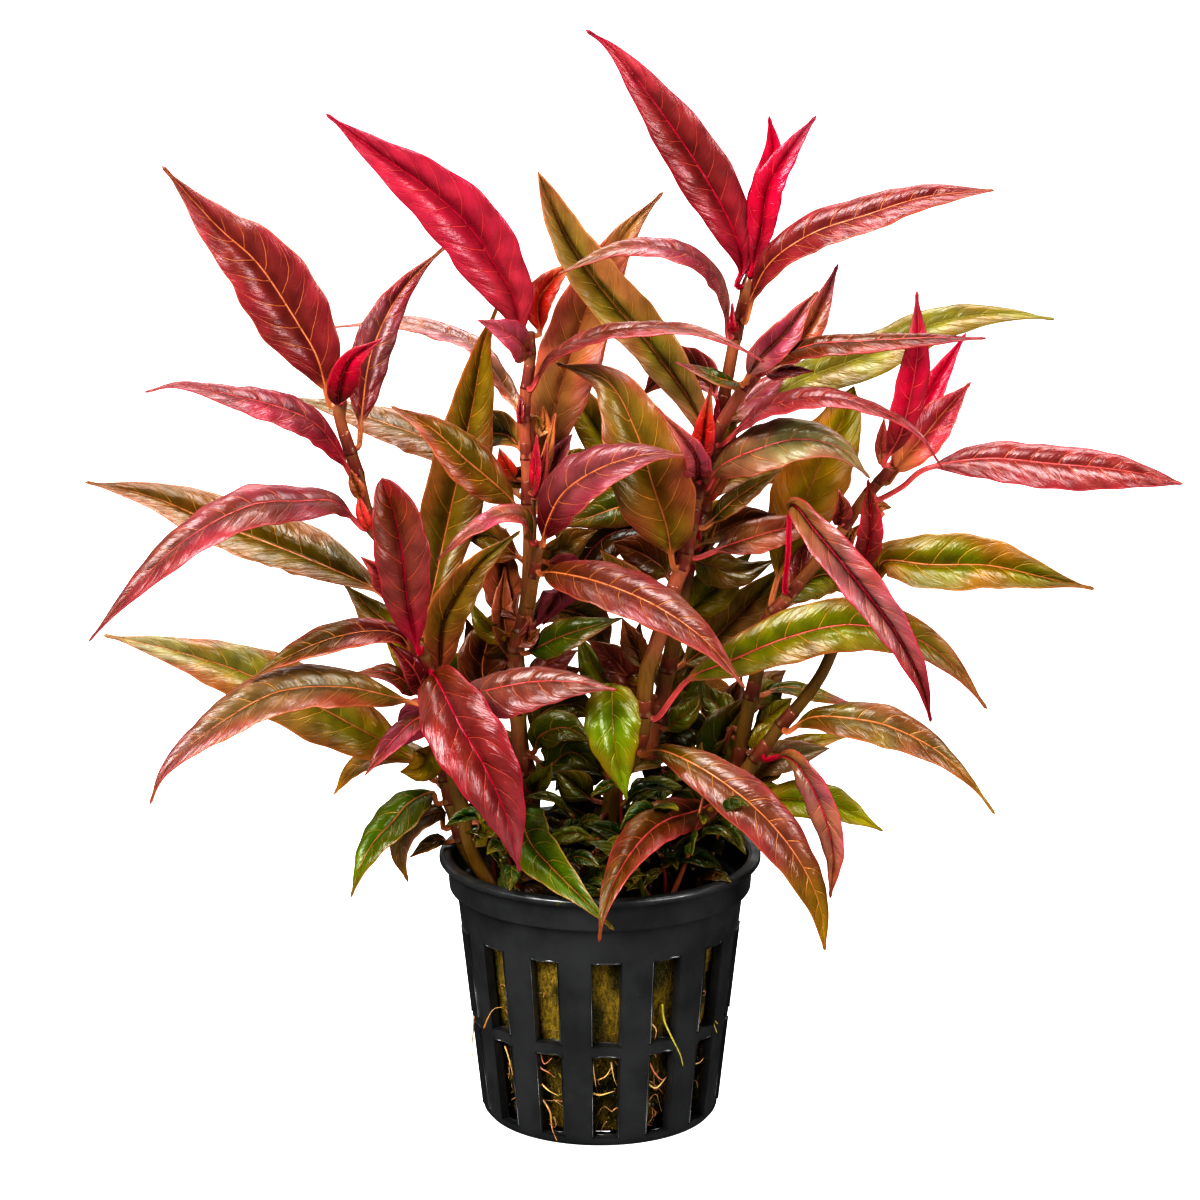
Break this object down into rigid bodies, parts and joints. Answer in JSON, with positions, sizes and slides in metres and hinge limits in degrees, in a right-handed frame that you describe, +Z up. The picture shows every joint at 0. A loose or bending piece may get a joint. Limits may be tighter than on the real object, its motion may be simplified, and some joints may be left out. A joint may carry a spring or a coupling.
{
  "type": "potted aquarium plant",
  "caption": "Red-leaved stem plant growing from a wool plug in a small round slotted pot, for planting in an aquarium or a bog.",
  "frame": {"origin": "centre of the pot's flat bottom", "axes": "+Z up along the pot's axis, -Y towards the viewer of the picture, +X to the viewer's right"},
  "size_m": [0.1834, 0.0843, 0.1865],
  "materials": {
    "pot_plastic": "satin black moulded plastic, damp",
    "wool": "damp mineral wool, stained olive, with brown moss on top",
    "stem_skin": "smooth red-brown stem skin with papery sheaths at the joints",
    "leaf_magenta": "young magenta leaf, satin",
    "leaf_crimson": "dusty crimson leaf, glossy and puckered between the veins",
    "leaf_bronze": "red-brown leaf with a pink midrib, glossy",
    "leaf_olive": "olive leaf with an orange midrib, glossy",
    "leaf_green": "green leaf with a reddish edge, glossy"
  },
  "bodies": {
    "root": {"pot": "pot_plastic", "plug": "wool", "stem_a": "stem_skin", "stem_b": "stem_skin", "stem_c": "stem_skin", "stem_d": "stem_skin", "stem_e": "stem_skin", "stem_f": "stem_skin", "stem_g": "stem_skin", "stem_h": "stem_skin", "leaf_a1": "leaf_bronze", "leaf_a2": "leaf_bronze", "leaf_a4": "leaf_crimson", "leaf_a6": "leaf_bronze", "leaf_a8": "leaf_olive", "leaf_b1": "leaf_crimson", "leaf_b2": "leaf_magenta", "leaf_b3": "leaf_bronze", "leaf_b4": "leaf_olive", "leaf_b5": "leaf_olive", "leaf_b9": "leaf_green", "leaf_b10": "leaf_green", "leaf_c1": "leaf_magenta", "leaf_c4": "leaf_olive", "leaf_c5": "leaf_olive", "leaf_c6": "leaf_olive", "leaf_c7": "leaf_olive", "leaf_c8": "leaf_crimson", "leaf_c10": "leaf_olive", "leaf_c11": "leaf_olive", "leaf_c12": "leaf_bronze", "leaf_c13": "leaf_olive", "leaf_d1": "leaf_crimson", "leaf_d4": "leaf_green", "leaf_g1": "leaf_crimson", "leaf_g5": "leaf_bronze", "leaf_e1": "leaf_crimson", "leaf_e2": "leaf_magenta", "leaf_e4": "leaf_crimson", "leaf_e5": "leaf_crimson", "leaf_f2": "leaf_crimson", "leaf_f3": "leaf_crimson", "leaf_f7": "leaf_magenta", "leaf_f8": "leaf_green", "leaf_f9": "leaf_olive", "leaf_f11": "leaf_olive", "leaf_g6": "leaf_green", "leaf_g7": "leaf_crimson", "leaf_g8": "leaf_green", "leaf_g9": "leaf_bronze", "leaf_g13": "leaf_green", "leaf_h1": "leaf_crimson", "leaf_h2": "leaf_crimson", "leaf_h4": "leaf_magenta", "leaf_h9": "leaf_crimson", "leaf_h10": "leaf_olive", "leaf_i1": "leaf_green", "leaf_i3": "leaf_crimson", "leaf_i4": "leaf_green"}
  },
  "joints": []
}
